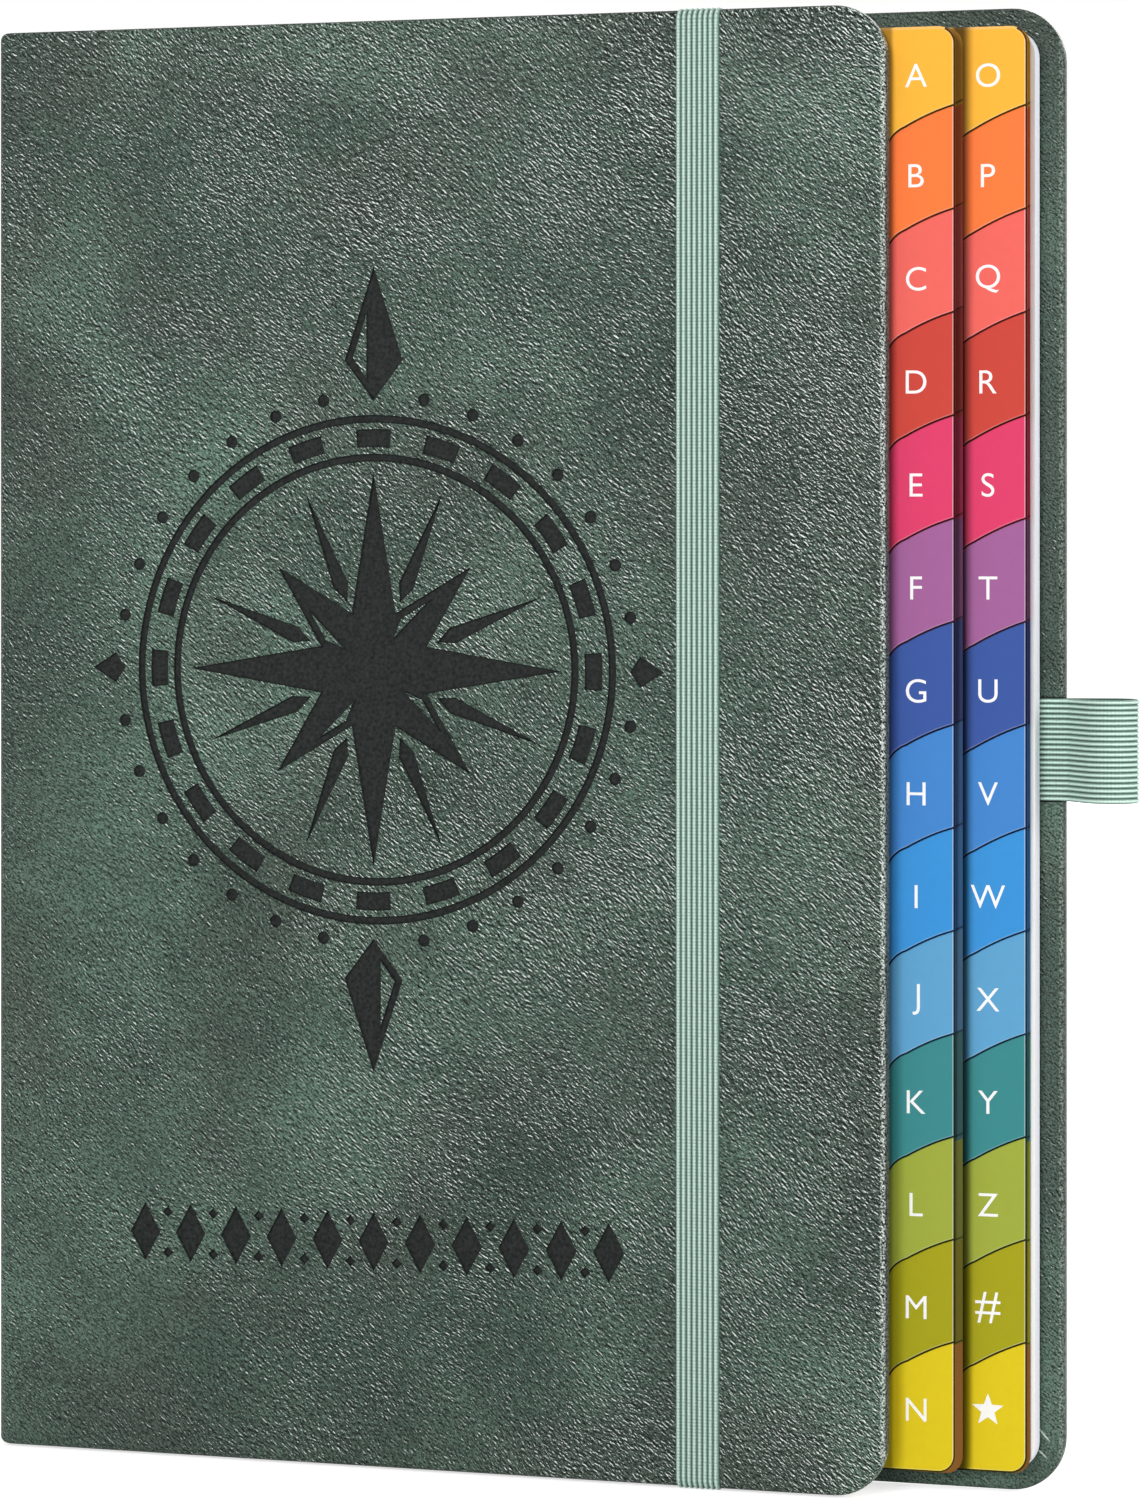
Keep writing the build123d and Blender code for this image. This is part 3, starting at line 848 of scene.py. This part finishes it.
class ADDRESS_BOOK_OT_back_cover(BookPiece, bpy.types.Operator):
    """Leather of the back cover, its joint and the spine"""

    bl_idname = "address_book.back_cover"
    bl_label = "Back cover and spine"

    def execute(self, context):
        settings = self.settings(context)
        strength = 0.5
        leather = new_material(
            "back_leather_grain", grained_leather, joint_low, back_high, settings.leather, strength
        )
        cover = new_piece("back_cover_leather", copy_of_node("back_leather"), [leather], COVER_SHARP)
        cover.modifiers.new("even_shading", "WEIGHTED_NORMAL").keep_sharp = True
        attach(cover, "case")
        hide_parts("back_leather")
        strip = joint_strip("back_joint", y_back, -1, leather)
        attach(strip, "case")
        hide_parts("back_joint_leather")
        dress_node("spine_leather", leather)
        self.pleats(leather)
        return {"FINISHED"}

    def pleats(self, leather):
        """Small folds where leather is gathered round the corners of the fore-edge, the lower ones pale with
        painted highlight.
        """
        # The lower folds are coloured with a pale painted highlight
        painted_highlight = new_material("painted_highlight_leather", plain_fibre, "#DCE4DE", "#8FA096", 0.4 * MM)
        half_width, height = 0.17 * MM, 0.14 * MM
        # Root and tip of each fold at a corner, in mm from the fore-edge and from head or tail
        places = (((4.0, 9.2), (1.8, 6.9)), ((4.0, 6.1), (2.3, 4.7)))
        bm = bmesh.new()
        for corner, up, number in ((back_low.z, 1, 0), (back_high.z, -1, 1)):
            for ends in places:
                root, tip = [
                    Vector((x_back_edge - out * MM, back_low.y, corner + up * rise * MM))
                    for out, rise in ends
                ]
                side = (tip - root).cross(Vector((0, 1, 0))).normalized() * half_width
                middle = (root + tip) / 2
                foot = [bm.verts.new(place) for place in (root, middle + side, tip, middle - side)]
                crest = bm.verts.new(middle - Vector((0, height, 0)))
                sides = [(a, b, crest) for a, b in zip(foot, foot[1:] + foot[:1])]
                for corners in sides + [foot]:
                    bm.faces.new(corners).material_index = number
        bmesh.ops.recalc_face_normals(bm, faces=bm.faces)
        folds = new_piece("corner_pleats", bm, [painted_highlight, leather], SHEET_SHARP)
        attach(folds, "case")


class ADDRESS_BOOK_OT_case_lining(BookPiece, bpy.types.Operator):
    """Boards, pastedowns and binding"""

    bl_idname = "address_book.case_lining"
    bl_label = "Boards and binding"

    def execute(self, context):
        settings = self.settings(context)
        board = new_material("grey_board", plain_fibre, "#A8A297", "#847E73", 1.5 * MM)
        paper = new_material("page_paper", page_paper, settings.tabs)
        glue = new_material("binding_glue", plain_fibre, "#EFEADB", "#DDD5C0", 2 * MM, 0.4)
        cloth = new_material("binding_cloth", plain_fibre, "#EFECE4", "#D5D0C4", 0.5 * MM)
        stripes = new_material("striped_headband", striped_headband, settings.elastic)
        for name in ("front_board", "back_board", "spine_board"):
            dress_node(name, board)
        dress_node("front_pastedown", paper)
        trim = 1.2 * MM
        for name in ("back_pastedown", "back_flyleaf"):
            bm = copy_of_node(name)
            move_outer_edge(bm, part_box(name)[1].x, -trim)
            sheet = new_piece(f"{name}_sheet", bm, [paper], SHEET_SHARP)
            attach(sheet, "case")
            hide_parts(name)
        dress_node("binding_glue", glue)
        dress_node("spine_lining", cloth)
        for name in ("headband", "tailband"):
            dress_node(name, stripes)
        return {"FINISHED"}


def on_cut_edge(face):
    """Whether a face is on the cut edge of a leaf, and not on one of its two sides."""
    return abs(face.normal.y) < 0.5


def bent_leaf(name, node, materials, bm, bend):
    """Finish a leaf: loops where it bends at the spine, and its ties to the case and to its own body."""
    loops = 12
    cut_across(bm, [x_page + bend * i / loops for i in range(1, loops + 1)])
    leaf = new_piece(name, bm, materials, SHEET_SHARP)
    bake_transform(leaf, "case", node, start=(x_page, 0, 0), end=(x_page + bend, 0, 0))
    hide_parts(node)
    return leaf


def move_outer_edge(bm, x_edge, distance):
    """Move a leaf's outer edge with its round corners."""
    corner_reach = 5.5 * MM
    outer = [v for v in bm.verts if v.co.x > x_edge - corner_reach]
    bmesh.ops.translate(bm, verts=outer, vec=(distance, 0, 0))


def stretch_root(bm, x_root, under):
    """Carry a tab's inner corner under what lies in front of it, so that only its sweep shows."""
    x_hold = x_root + TAB_SWEEP
    corner = [v for v in bm.verts if x_root - NEAR < v.co.x < x_hold]
    hold = Matrix.Translation((-x_hold, 0, 0))
    bmesh.ops.scale(bm, verts=corner, vec=(1 + under / (x_hold - x_root), 1, 1), space=hold)
    # The lowest tab's inner edge goes down to the foot of the page, and further in
    foot_width, foot_height, foot_tuck = 8 * MM, 6 * MM, 5 * MM
    z_foot = z_page_bottom + foot_height
    foot = [v for v in bm.verts if x_root - foot_width < v.co.x < x_root and v.co.z < z_foot]
    bmesh.ops.translate(bm, verts=foot, vec=(-foot_tuck, 0, 0))


def arch_seam(bm, x_root, z_edge):
    """Bend the straight part of a tab's lower edge into a flat arch."""
    rise, cuts = 0.25 * MM, 7
    sweep_height, sweep_width = 8 * MM, 3 * MM
    same = 0.02 * MM
    outer = max((v.co for v in bm.verts if abs(v.co.z - z_edge) < same), key=lambda place: place.x).copy()
    sweep_ends = [
        v.co for v in bm.verts
        if z_edge - sweep_height < v.co.z < z_edge - same and v.co.x > x_root - sweep_width
    ]
    inner = max(sweep_ends, key=lambda place: place.x).copy()
    straight = []
    for edge in bm.edges:
        low, high = sorted((v.co for v in edge.verts), key=lambda place: place.x)
        if abs(low.x - inner.x) < same and abs(low.z - inner.z) < same and abs(high.z - outer.z) < same:
            straight.append(edge)
    made = bmesh.ops.subdivide_edges(bm, edges=straight, cuts=cuts)
    for vert in made["geom_inner"]:
        if isinstance(vert, bmesh.types.BMVert):
            share = (vert.co.x - inner.x) / (outer.x - inner.x)
            vert.co.z += rise * 4 * share * (1 - share)


class ADDRESS_BOOK_OT_tabs(BookPiece, bpy.types.Operator):
    """Lettered sections with their printed tabs"""

    bl_idname = "address_book.tabs"
    bl_label = "Index tabs"

    def execute(self, context):
        settings = self.settings(context).tabs
        card = new_material("index_card", index_card)
        edges = []
        for first_tab, depth in zip(TAB_NODES[::ROWS_PER_COLUMN], COLUMN_EDGE_SHADES):
            edges.append(new_material(f"cut_edges_from_{first_tab}", cut_tab_edge, first_tab, depth))
        for index, node in enumerate(TAB_NODES):
            column, row = divmod(index, ROWS_PER_COLUMN)
            bm = self.shaped_leaf(index, settings)
            self.print_leaf(bm, index, settings)
            leaf = bent_leaf(f"{node}_leaf", node, [card, edges[column]], bm, settings.bend)
        for column, edge in enumerate(edges):
            self.painted_shade_strip(column, edge)
        return {"FINISHED"}

    def shaped_leaf(self, index, settings):
        """A leaf whose tab has its swept root and arched edge, with rings of faces for its painted border of
        shadow and highlight.
        """
        node = TAB_NODES[index]
        column, row = divmod(index, ROWS_PER_COLUMN)
        low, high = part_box(node)
        edge_drop = 0.06 * MM
        bm = copy_of_node(node)
        stretch_root(bm, COLUMN_ROOTS[column], COLUMN_TUCKS[column] + SIGHT_SLOPE * depth_in_column(index))
        move_outer_edge(bm, high.x, edge_lean(index))
        if row < ROWS_PER_COLUMN - 1:
            arch_seam(bm, COLUMN_ROOTS[column], tab_floor(node))
        ring = bm.faces.layers.int.new("ring")
        front = [face for face in bm.faces if face.normal.y < -0.9]
        for number, wide in ((1, settings.line), (2, settings.rim)):
            made = bmesh.ops.inset_region(bm, faces=front, thickness=wide, use_even_offset=True)
            for face in made["faces"]:
                face[ring] = number
        # The cut edge is pressed down a little
        bm.normal_update()
        outline = {v for f in bm.faces if on_cut_edge(f) for v in f.verts if v.co.y < low.y + SAME}
        bmesh.ops.translate(bm, verts=list(outline), vec=(0, edge_drop, 0))
        return bm

    def print_leaf(self, bm, index, settings):
        """Colour a tab: its print, with a painted shadow line and painted highlight rim along its edge, and
        painted shade beside its root.
        """
        node = TAB_NODES[index]
        column, row = divmod(index, ROWS_PER_COLUMN)
        paper = tuple(settings.paper)
        colour = linear(ROWS[row][1])
        # The dark line is a painted shadow along the tab's edge, and the rims inside it are painted highlight
        line = toward(colour, BLACK, 0.95)
        rim = toward(colour, WHITE, 0.28)
        painted_seam_highlight = toward(colour, WHITE, 0.1)
        border = settings.line + settings.rim
        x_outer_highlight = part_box(node)[1].x + edge_lean(index) - border
        x_print = COLUMN_ROOTS[column] - PRINT_TUCK
        z_print = tab_floor(node) - PRINT_DROP if row < ROWS_PER_COLUMN - 1 else 0.0
        shade_start, shade_width, shade_least = COLUMN_SHADES[column]
        x_shade = COLUMN_ROOTS[column] + shade_start - SIGHT_SLOPE * depth_in_column(index)
        x_tuck = x_shade - SHADE_TUCK
        fade_loops, shade_loops = 4, 6
        fade = [x_tuck - SHADE_FADE * step / fade_loops for step in range(fade_loops + 1)]
        shade = [x_shade + shade_width * step / shade_loops for step in range(shade_loops + 1)]
        cut_across(bm, [x_print] + fade + shade)
        cut(bm, (0, 0, z_print), (0, 0, 1))
        bm.normal_update()
        ring = bm.faces.layers.int["ring"]
        ink = bm.loops.layers.float_color.new("print")
        for face in bm.faces:
            middle = face.calc_center_median()
            at_head = middle.z > z_page_top - border
            is_printed = middle.x > x_print and middle.z > z_print
            is_shaded = is_printed and face.normal.y < 0.5
            if not is_printed:
                tint = paper
            elif face[ring] == 1 and not at_head:
                tint = line
            elif face[ring]:
                tint = rim if middle.x > x_outer_highlight else painted_seam_highlight
            else:
                tint = colour
            face.material_index = 1 if is_printed and on_cut_edge(face) else 0
            # Beside the root painted shade darkens the print, except on the back of the leaf
            for loop in face.loops:
                x = loop.vert.co.x
                share = max(ease((x - x_shade) / shade_width), ease((x_tuck - x) / SHADE_FADE))
                light = shade_least + (1 - shade_least) * share
                loop[ink] = toward(BLACK, tint, light) if is_shaded else tint

    def painted_shade_strip(self, column, edge):
        """A strip of painted shade in the dark tones of the rows, which shows beside the tabs of a column."""
        last = (column + 1) * ROWS_PER_COLUMN - 1
        node = TAB_NODES[last]
        low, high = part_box(node)
        strip_reach = 6 * MM
        bm = copy_of_node(node)
        move_outer_edge(bm, high.x, edge_lean(last) + COLUMN_SHADE_STRIPS[column])
        cut(bm, (high.x - strip_reach, 0, 0), (1, 0, 0), clear_inner=True)
        bmesh.ops.holes_fill(bm, edges=[e for e in bm.edges if e.is_boundary])
        # Half as thick as the leaf that it lies in
        middle = Matrix.Translation((0, -(low.y + high.y) / 2, 0))
        bmesh.ops.scale(bm, verts=bm.verts, vec=(1, 0.5, 1), space=middle)
        bmesh.ops.recalc_face_normals(bm, faces=bm.faces)
        strip = new_piece(f"column_{column + 1}_backing", bm, [edge], SHEET_SHARP)
        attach(strip, node)


class ADDRESS_BOOK_OT_letters(BookPiece, bpy.types.Operator):
    """Index letters on the tabs"""

    bl_idname = "address_book.letters"
    bl_label = "Index letters"

    def execute(self, context):
        settings = self.settings(context).tabs
        card = bpy.data.materials["index_card"]
        drop = settings.letter_inset * TAB_SLOPE
        for index, (node, mark) in enumerate(zip(TAB_NODES, TAB_MARKS)):
            row = index % ROWS_PER_COLUMN
            low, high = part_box(node)
            x = high.x + edge_lean(index) - settings.letter_inset
            if row == 0:
                z = (z_page_top + z_first_floor - drop) / 2
            else:
                z = z_first_floor - (row - 1) * tab_pitch - drop - tab_pitch / 2
            if mark == "star":
                bm = self.star(settings.letter_height)
            else:
                bm = self.letter(context, mark, settings.letter_height)
            bmesh.ops.rotate(bm, verts=bm.verts, cent=(0, 0, 0), matrix=Matrix.Rotation(pi / 2, 3, "X"))
            bmesh.ops.translate(bm, verts=bm.verts, vec=(x, low.y, z))
            ink = bm.loops.layers.float_color.new("print")
            tint = toward(linear(ROWS[row][1]), settings.letter, 0.95)
            for face in bm.faces:
                for loop in face.loops:
                    loop[ink] = tint
            letter = new_piece(f"{node}_letter", bm, [card])
            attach(letter, node)
        return {"FINISHED"}

    def star(self, height):
        """A flat star with five points."""
        reach, waist = height * 0.68, 0.42
        bm = bmesh.new()
        bmesh.ops.create_circle(bm, cap_ends=True, segments=10, radius=reach)
        bmesh.ops.scale(bm, verts=list(bm.verts)[::2], vec=(waist, waist, 1))
        bmesh.ops.rotate(bm, verts=bm.verts, cent=(0, 0, 0), matrix=Matrix.Rotation(pi / 5, 3, "Z"))
        raised = bmesh.ops.extrude_face_region(bm, geom=bm.faces[:])
        bmesh.ops.translate(bm, verts=new_items(raised, bmesh.types.BMVert), vec=(0, 0, LETTER_THICKNESS))
        bmesh.ops.recalc_face_normals(bm, faces=bm.faces)
        return bm

    def letter(self, context, mark, height):
        """A flat letter about its middle; capitals keep the font's own proportions."""
        font_capital, hash_scale = 0.73, 1.25
        half_thickness = 0.01
        text = bpy.data.curves.new("letter", "FONT")
        text.body = mark
        text.align_x = "CENTER"
        text.size = 1.0
        text.extrude = half_thickness
        text.offset = -0.003
        shape = bpy.data.objects.new("letter", text)
        context.scene.collection.objects.link(shape)
        context.view_layer.update()
        mesh = bpy.data.meshes.new_from_object(shape.evaluated_get(context.evaluated_depsgraph_get()))
        bm = bmesh.new()
        bm.from_mesh(mesh)
        bpy.data.objects.remove(shape)
        bpy.data.curves.remove(text)
        bpy.data.meshes.remove(mesh)
        bmesh.ops.remove_doubles(bm, verts=bm.verts, dist=1e-5)
        lows = [min(v.co[i] for v in bm.verts) for i in range(2)]
        highs = [max(v.co[i] for v in bm.verts) for i in range(2)]
        if mark == "#":
            size = height * hash_scale / (highs[1] - lows[1])
        else:
            size = height / font_capital
        middle = Vector(((lows[0] + highs[0]) / 2, (lows[1] + highs[1]) / 2, 0))
        bmesh.ops.translate(bm, verts=bm.verts, vec=-middle)
        bmesh.ops.scale(bm, verts=bm.verts, vec=(size, size, LETTER_THICKNESS / (2 * half_thickness)))
        return bm


class ADDRESS_BOOK_OT_pages(BookPiece, bpy.types.Operator):
    """Plain pages and the front flyleaf"""

    bl_idname = "address_book.pages"
    bl_label = "Pages"

    def execute(self, context):
        settings = self.settings(context).tabs
        paper = bpy.data.materials["page_paper"]
        edge = new_material("cut_page_edge", cut_page_edge)
        flyleaf_trim, page_growth = 1.6 * MM, 0.45 * MM
        for node in NOTES_NODES + ["front_flyleaf"]:
            bm = copy_of_node(node)
            if node == "front_flyleaf":
                move_outer_edge(bm, x_front_edge, -flyleaf_trim)
            else:
                move_outer_edge(bm, x_page_edge, page_growth)
            for face in bm.faces:
                face.material_index = 1 if on_cut_edge(face) else 0
            leaf = bent_leaf(f"{node}_pages", node, [paper, edge], bm, settings.bend)
        return {"FINISHED"}


def ribbed_section(width, thickness, ribs):
    """Outline of ribbed elastic, with rib heights: its ribbed face, and then its flat back."""
    steps = 5
    web = 0.5
    points = []
    for step in range(ribs * steps + 1):
        crest = sin(pi * (step % steps) / steps)
        across = width * (step / (ribs * steps) - 0.5)
        points.append((across, thickness * (web + (1 - web) * crest), crest))
    return points + [(width / 2, 0.0, 0.0), (-width / 2, 0.0, 0.0)]


def sweep(bm, edges, route, radii, longest_step):
    """Carry a closed loop of edges along straight runs joined by arcs, noting the distance travelled."""
    along = bm.verts.layers.float["along"]
    travelled = 0.0
    place = route[0]
    fine_turn = radians(12)

    def carry(loop, distance):
        """Extrude the loop; gives the edges and vertices of its new place."""
        made = bmesh.ops.extrude_edge_only(bm, edges=loop)
        verts = new_items(made, bmesh.types.BMVert)
        for vert in verts:
            vert[along] = distance
        front = set(verts)
        new_edges = new_items(made, bmesh.types.BMEdge)
        return [edge for edge in new_edges if all(v in front for v in edge.verts)], verts

    for number, corner in enumerate(route[1:]):
        heading = (corner - route[number]).normalized()
        is_last = number == len(route) - 2
        stop = corner
        if not is_last:
            turned = (route[number + 2] - corner).normalized()
            bend = heading.angle(turned)
            stop = corner - heading * radii[number] * tan(bend / 2)
        run = stop - place
        steps = max(1, ceil(run.length / longest_step))
        for _ in range(steps):
            travelled += run.length / steps
            edges, verts = carry(edges, travelled)
            bmesh.ops.translate(bm, verts=verts, vec=run / steps)
        if is_last:
            break
        axis = heading.cross(turned).normalized()
        centre = stop + axis.cross(heading) * radii[number]
        steps = max(2, ceil(bend / fine_turn))
        for _ in range(steps):
            travelled += radii[number] * bend / steps
            edges, verts = carry(edges, travelled)
            bmesh.ops.rotate(bm, verts=verts, cent=centre, matrix=Matrix.Rotation(bend / steps, 3, axis))
        place = corner + turned * radii[number] * tan(bend / 2)


def ribbon(name, section, route, radii, longest_step, material):
    """A strap of ribbed elastic; its section holds points with rib heights, where the route starts."""
    bm = bmesh.new()
    rib = bm.verts.layers.float.new("rib")
    bm.verts.layers.float.new("along")
    verts = []
    for point, crest in section:
        vert = bm.verts.new(point)
        vert[rib] = crest
        verts.append(vert)
    edges = [bm.edges.new((a, b)) for a, b in zip(verts, verts[1:] + verts[:1])]
    bm.faces.new(verts)
    sweep(bm, edges, route, radii, longest_step)
    bmesh.ops.holes_fill(bm, edges=[e for e in bm.edges if e.is_boundary], sides=len(verts))
    bmesh.ops.recalc_face_normals(bm, faces=bm.faces)
    return new_piece(name, bm, [material], ELASTIC_SHARP)


class ADDRESS_BOOK_OT_closing_band(BookPiece, bpy.types.Operator):
    """Ribbed elastic band round the closed book"""

    bl_idname = "address_book.closing_band"
    bl_label = "Closing band"

    def execute(self, context):
        settings = self.settings(context).elastic
        dip = 0.12
        elastic = new_material(
            "band_elastic", ribbed_elastic, settings.light, settings.deep, settings.pick, dip
        )
        x_band = (band_low.x + band_high.x) / 2
        width = band_high.x - band_low.x
        y_tail = back_low.y
        z_tail = 12 * MM
        z_low = 0.45 * MM
        z_high = cover_height - z_low
        fold, wrap = 0.35 * MM, 1.1 * MM
        longest_step = 6 * MM
        section = [
            (Vector((x_band - across, y_tail + height, z_tail)), crest)
            for across, height, crest in ribbed_section(width, ELASTIC_THICKNESS, settings.band_ribs)
        ]
        route = [
            Vector((x_band, y, z)) for y, z in (
                (y_tail, z_tail), (y_tail, z_low), (y_front, z_low), (y_front, z_high),
                (y_tail, z_high), (y_tail, cover_height - z_tail),
            )
        ]
        band = ribbon("closing_band", section, route, [fold, wrap, wrap, fold], longest_step, elastic)
        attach(band, "elastic_band")
        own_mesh(band)
        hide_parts("elastic_band")
        return {"FINISHED"}


class ADDRESS_BOOK_OT_pen_loop(BookPiece, bpy.types.Operator):
    """Ribbed elastic loop at the fore-edge"""

    bl_idname = "address_book.pen_loop"
    bl_label = "Pen loop"

    def execute(self, context):
        settings = self.settings(context).elastic
        dip = 0.04
        elastic = new_material(
            "loop_elastic", ribbed_elastic, settings.loop_crest_highlight, settings.loop_groove_shade, settings.pick, dip
        )
        thickness = ELASTIC_THICKNESS
        z_middle = (loop_low.z + loop_high.z) / 2
        width = loop_high.z - loop_low.z
        end_radius, front_root, back_root = 3.3 * MM, 1.2 * MM, 2.0 * MM
        longest_step = 2 * MM
        y_seam = back_low.y + thickness
        end = Vector((loop_high.x - end_radius - thickness, loop_high.y - end_radius - thickness, z_middle))
        section = [
            (Vector((loop_low.x, y_seam - height, z_middle + across)), crest)
            for across, height, crest in ribbed_section(width, thickness, settings.loop_ribs)
        ]
        # The loop leaves the seam, opens round its end and comes back: its inner side touches the end circle
        leave, back = radians(-48.9), radians(12.07)
        leaving, coming = [Vector((cos(angle), sin(angle), 0)) for angle in (leave, back)]
        front_touch = end + end_radius * Vector((sin(leave), -cos(leave), 0))
        back_touch = end + end_radius * Vector((-sin(back), cos(back), 0))
        root_front = front_touch - leaving * ((front_touch.y - y_seam) / leaving.y)
        root_back = back_touch - coming * ((back_touch.y - y_seam) / coming.y)
        bends = 3
        part = (pi + back - leave) / bends
        outer = end_radius / cos(part / 2)
        corners = []
        for number in range(bends):
            angle = leave - pi / 2 + part * (number + 0.5)
            corners.append(end + outer * Vector((cos(angle), sin(angle), 0)))
        seam = Vector((loop_low.x, y_seam, z_middle))
        route = [seam, root_front, *corners, root_back, seam]
        radii = [front_root] + [end_radius] * bends + [back_root]
        loop = ribbon("ribbed_pen_loop", section, route, radii, longest_step, elastic)
        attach(loop, "case")
        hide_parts("pen_loop")
        return {"FINISHED"}


class ADDRESS_BOOK_OT_stage(BookPiece, bpy.types.Operator):
    """Floor, light and camera"""

    bl_idname = "address_book.stage"
    bl_label = "Stage"

    def execute(self, context):
        scene = context.scene
        scene.view_settings.view_transform = "Standard"
        self.floor()
        self.world(scene)
        # Place, size and power of each lamp
        lamps = {
            "key_light": ((-0.45, -2.85, 1.05), 0.8, 41.0),
            "side_light": ((2.4, -0.5, 0.6), 1.8, 36.0),
            "back_light": ((0.3, 2.6, 1.2), 1.2, 40.0),
        }
        for name, (place, size, power) in lamps.items():
            self.lamp(scene, name, place, size, power)
        camera = bpy.data.cameras.new("camera")
        camera.lens = 120.5
        camera.sensor_width = 36.0
        camera.shift_y = -0.15
        view = bpy.data.objects.new("camera", camera)
        view.location = (0.2259, -0.6732, 0.1335)
        view.rotation_euler = (radians(90), 0, radians(18.36))
        scene.collection.objects.link(view)
        scene.camera = view
        return {"FINISHED"}

    def floor(self):
        """A wide white floor just below the book."""
        radius, below = 6.0, 0.3 * MM
        bm = bmesh.new()
        bmesh.ops.create_circle(bm, cap_ends=True, segments=96, radius=radius)
        bmesh.ops.translate(bm, verts=bm.verts, vec=(0, 0, -below))
        floor = new_piece("floor", bm, [new_material("white_floor", white_floor)])

    def world(self, scene):
        """Soft white light from all sides, which is seen as plain white."""
        world = bpy.data.worlds.new("soft_white")
        world.use_nodes = True
        tree = world.node_tree
        tree.nodes.clear()
        strength = add(tree, "MapRange", {"Value": background_seen(tree), "To Min": 0.4, "To Max": 1.0})
        light = add(tree, "Background", {"Color": WHITE, "Strength": strength})
        add(tree, "OutputWorld", {"Surface": light})
        scene.world = world

    def lamp(self, scene, name, place, size, power):
        """A square lamp that is aimed at the middle of the book."""
        light = bpy.data.lights.new(name, "AREA")
        light.size = size
        light.energy = power
        lamp = bpy.data.objects.new(name, light)
        lamp.location = place
        aim = Vector((0, 0, mid_height)) - Vector(place)
        lamp.rotation_euler = aim.to_track_quat("-Z", "Y").to_euler()
        scene.collection.objects.link(lamp)


OPERATORS = (
    ADDRESS_BOOK_OT_front_cover,
    ADDRESS_BOOK_OT_back_cover,
    ADDRESS_BOOK_OT_case_lining,
    ADDRESS_BOOK_OT_tabs,
    ADDRESS_BOOK_OT_letters,
    ADDRESS_BOOK_OT_pages,
    ADDRESS_BOOK_OT_closing_band,
    ADDRESS_BOOK_OT_pen_loop,
    ADDRESS_BOOK_OT_stage,
)


class ADDRESS_BOOK_PT_panel(bpy.types.Panel):
    """Buttons for each piece of the address book"""

    bl_idname = "ADDRESS_BOOK_PT_panel"
    bl_label = "Address Book"
    bl_space_type = "VIEW_3D"
    bl_region_type = "UI"
    bl_category = "Address Book"

    def draw(self, context):
        for operator in OPERATORS:
            self.layout.operator(operator.bl_idname)


CLASSES = (LeatherSettings, OrnamentSettings, TabSettings, ElasticSettings, BookSettings,
           *OPERATORS, ADDRESS_BOOK_PT_panel)


def register():
    for item in CLASSES:
        bpy.utils.register_class(item)
    bpy.types.Scene.address_book = bpy.props.PointerProperty(type=BookSettings)


def unregister():
    del bpy.types.Scene.address_book
    for item in reversed(CLASSES):
        bpy.utils.unregister_class(item)


def main():
    register()
    for operator in OPERATORS:
        group, name = operator.bl_idname.split(".")
        getattr(getattr(bpy.ops, group), name)()


if __name__ == "__main__":
    main()
